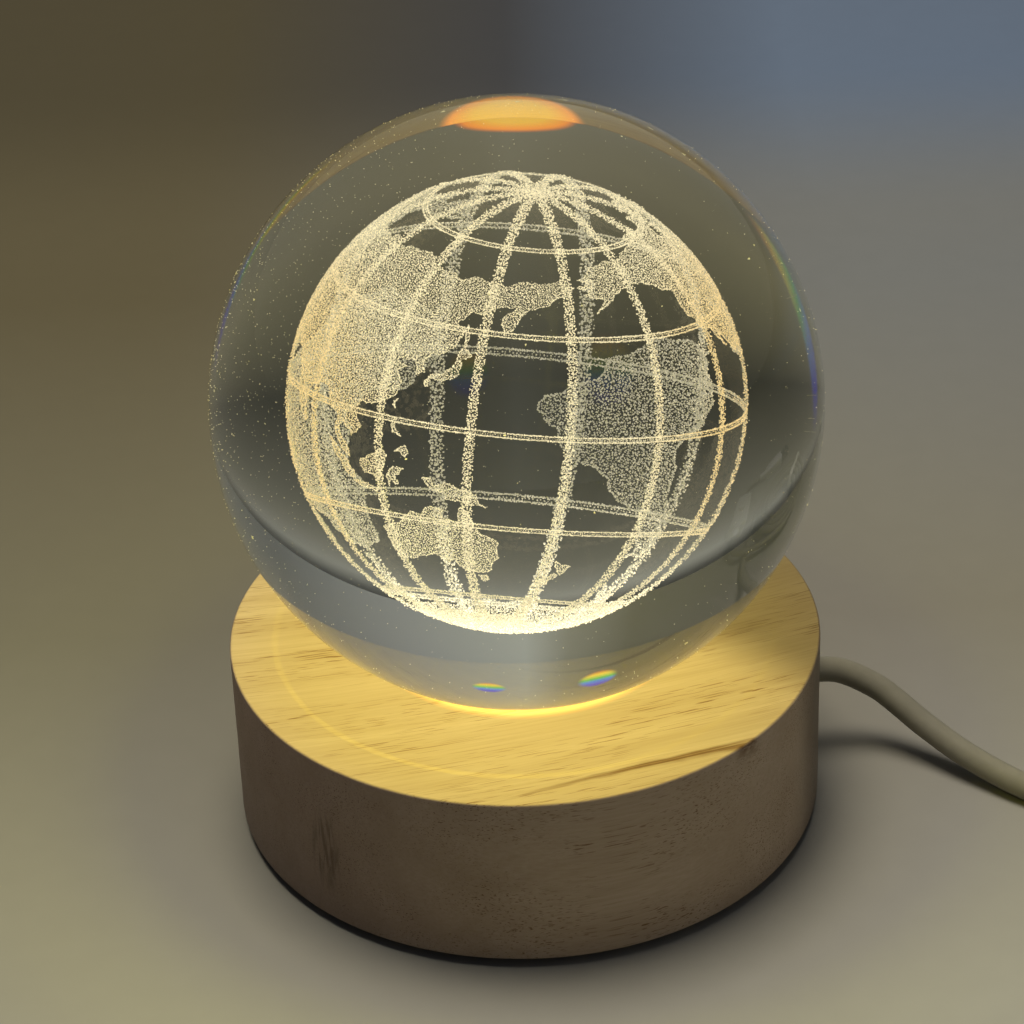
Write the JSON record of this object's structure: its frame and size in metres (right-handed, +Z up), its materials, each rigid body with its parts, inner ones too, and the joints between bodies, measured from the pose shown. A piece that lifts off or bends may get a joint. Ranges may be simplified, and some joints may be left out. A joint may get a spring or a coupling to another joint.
{
  "type": "crystal ball lamp",
  "caption": "Glass ball night light: a clear solid ball rests in a dish in a round wooden base, lit from below by LEDs, on a low-voltage cord with a push switch and flat plug.",
  "frame": {"origin": "centre of the underside of the soft pad, on the surface that the lamp stands on", "axes": "+Z up through the ball's centre, -Y towards the picture's camera, +X to its right, where the cord leaves at the back right"},
  "size_m": [0.207, 0.0819, 0.1016],
  "materials": {
    "optical_glass": "polished, clear",
    "cracked_glass": "matt white micro-cracks in the glass",
    "pale_wood": "fine sanded, unvarnished",
    "black_foam": "matte closed-cell foam",
    "black_fibreboard": "matte",
    "zinc_steel": "zinc plated",
    "clear_acrylic": "clear, polished",
    "white_plastic": "satin moulded",
    "soft_plastic": "matte moulded",
    "white_laminate": "white solder mask",
    "led_package": "warm white phosphor",
    "black_ceramic": "satin",
    "white_nylon": "satin",
    "red_insulation": "satin",
    "black_insulation": "satin",
    "cord_jacket": "smooth extruded",
    "brass_strip": "plain",
    "plug_steel": "nickel plated"
  },
  "bodies": {
    "lamp": {"wooden_base": "pale_wood", "base_pad": "black_foam", "bottom_cover": "black_fibreboard", "cover_screw_1": "zinc_steel", "cover_screw_2": "zinc_steel", "cover_screw_3": "zinc_steel", "light_window": "clear_acrylic", "led_holder": "white_plastic", "holder_screw_1": "zinc_steel", "holder_screw_2": "zinc_steel", "holder_screw_3": "zinc_steel", "led_board": "white_laminate", "board_screw_1": "zinc_steel", "board_screw_2": "zinc_steel", "led_1": "led_package", "led_2": "led_package", "led_3": "led_package", "led_4": "led_package", "resistor_1": "black_ceramic", "resistor_2": "black_ceramic", "cord_tie": "white_nylon", "lead_red": "red_insulation", "lead_black": "black_insulation", "cord_lamp": "cord_jacket", "cord_coil": "cord_jacket", "cord_switch": "cord_jacket", "cord_plug": "cord_jacket", "coil_tie": "white_nylon", "switch_lower_shell": "white_plastic", "switch_upper_shell": "white_plastic", "switch_contact_spring": "brass_strip", "switch_contact_fixed": "brass_strip", "switch_screw_1": "zinc_steel", "switch_screw_2": "zinc_steel", "switch_bush_in": "soft_plastic", "switch_bush_out": "soft_plastic", "switch_lead_live_in": "red_insulation", "switch_lead_live_out": "red_insulation", "switch_lead_return": "black_insulation", "plug_grip": "soft_plastic", "plug_shell": "plug_steel", "plug_tongue": "white_laminate", "plug_contact_1": "brass_strip", "plug_contact_2": "brass_strip", "plug_contact_3": "brass_strip", "plug_contact_4": "brass_strip"},
    "ball": {"crystal_ball": "optical_glass", "engraved_globe": "cracked_glass"},
    "button": {"switch_button": "white_plastic"}
  },
  "joints": [
    {"name": "ball_lift", "type": "slide", "parent": "lamp", "child": "ball", "axis": [0, 0, 1], "range_m": [0, 0.06]},
    {"name": "switch_press", "type": "slide", "parent": "lamp", "child": "button", "axis": [0, 0, -1], "range_m": [0, 0.0012], "stiffness_N_per_m": 300, "springref_m": -0.0005}
  ]
}
